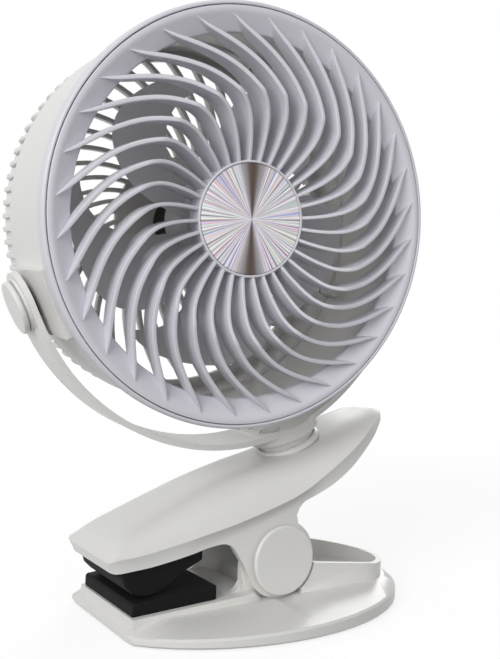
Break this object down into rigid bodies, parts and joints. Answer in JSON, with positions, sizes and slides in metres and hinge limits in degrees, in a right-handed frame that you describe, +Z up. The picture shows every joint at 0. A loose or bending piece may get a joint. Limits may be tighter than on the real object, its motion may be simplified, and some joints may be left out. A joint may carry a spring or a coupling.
{
  "type": "clip-on camping fan",
  "caption": "Clip-on camping fan: spring jaw base with rubber pads, swivel yoke, tilting round head with spiral grille and bladed impeller.",
  "frame": {"origin": "on the floor plane, on the middle plane of the clip base, 3 mm in front of the hinge axis", "axes": "+Z up, -X toward the open end of the jaws, the head blows toward -Y"},
  "size_m": [0.2102, 0.1268, 0.2843],
  "materials": {
    "white_plastic": "satin white moulded shell",
    "hidden_plastic": "plain moulded cover",
    "grille_plastic": "satin pale lavender grey",
    "blade_plastic": "satin mid grey",
    "pad_rubber": "matt black",
    "steel": "plain",
    "battery_wrap": "shrink wrap",
    "circuit_board": "solder mask",
    "label": "bare plate",
    "badge_metal": "radially turned disc",
    "dark_plastic": "black",
    "button_plastic": "satin",
    "dome_rubber": "silicone",
    "light_pipe": "translucent, off"
  },
  "bodies": {
    "base": {"base_shell": "white_plastic", "base_cover": "hidden_plastic", "base_feet": "pad_rubber", "base_screws": "steel", "battery_cells": "battery_wrap", "charge_board": "circuit_board", "charge_port": "steel", "lower_pad": "pad_rubber", "label_plate": "label", "hinge_pin": "steel", "clip_spring": "steel"},
    "lever": {"lever_shell": "white_plastic", "jaw_cover": "hidden_plastic", "tail_cover": "hidden_plastic", "lever_screws": "steel", "upper_pad": "pad_rubber", "hinge_cap_left": "white_plastic", "hinge_cap_right": "white_plastic", "neck_collar": "white_plastic", "swivel_washer": "dark_plastic"},
    "yoke": {"yoke": "white_plastic", "yoke_cap_left": "white_plastic", "yoke_cap_right": "white_plastic", "tilt_pin_left": "steel", "tilt_pin_right": "steel", "tilt_disc_left": "dark_plastic", "tilt_disc_right": "dark_plastic", "swivel_plate": "steel", "swivel_screw": "steel", "button_board": "circuit_board", "switch_dome": "dome_rubber", "indicator_lights": "light_pipe"},
    "button": {"power_button": "button_plastic"},
    "head": {"drum_housing": "white_plastic", "front_bezel": "grille_plastic", "front_ring": "grille_plastic", "front_ribs": "grille_plastic", "hub_badge": "badge_metal", "rear_grille": "white_plastic", "grille_screws": "steel", "motor_housing": "dark_plastic", "motor_bearings": "steel", "motor_screws": "steel"},
    "rotor": {"impeller": "blade_plastic", "motor_shaft": "steel", "impeller_cap": "blade_plastic"}
  },
  "joints": [
    {"name": "clip_open", "type": "hinge", "parent": "base", "child": "lever", "pos_m": [0.003, 0, 0.0276], "axis": [0, 1, 0], "range_deg": [0, 28], "stiffness_Nm_per_rad": 0.6, "springref_deg": -51.57, "deforming": ["clip_spring"]},
    {"name": "yoke_swivel", "type": "hinge", "parent": "lever", "child": "yoke", "pos_m": [0.024, 0, 0.07893], "axis": [-0.4147, 0, 0.91], "range_deg": [-170, 170]},
    {"name": "power_press", "type": "slide", "parent": "yoke", "child": "button", "axis": [0.4147, 0, -0.91], "range_m": [0, 0.0006], "stiffness_N_per_m": 3000, "springref_m": -0.0002, "deforming": ["switch_dome"]},
    {"name": "head_tilt", "type": "hinge", "parent": "yoke", "child": "head", "pos_m": [-0.02519, 0, 0.18687], "axis": [0.9058, -0.0958, 0.4128], "range_deg": [-90, 20]},
    {"name": "impeller_spin", "type": "hinge", "parent": "head", "child": "rotor", "pos_m": [-0.02664, -0.00008, 0.19005], "axis": [-0.0778, -0.9951, -0.0604], "continuous": true}
  ]
}
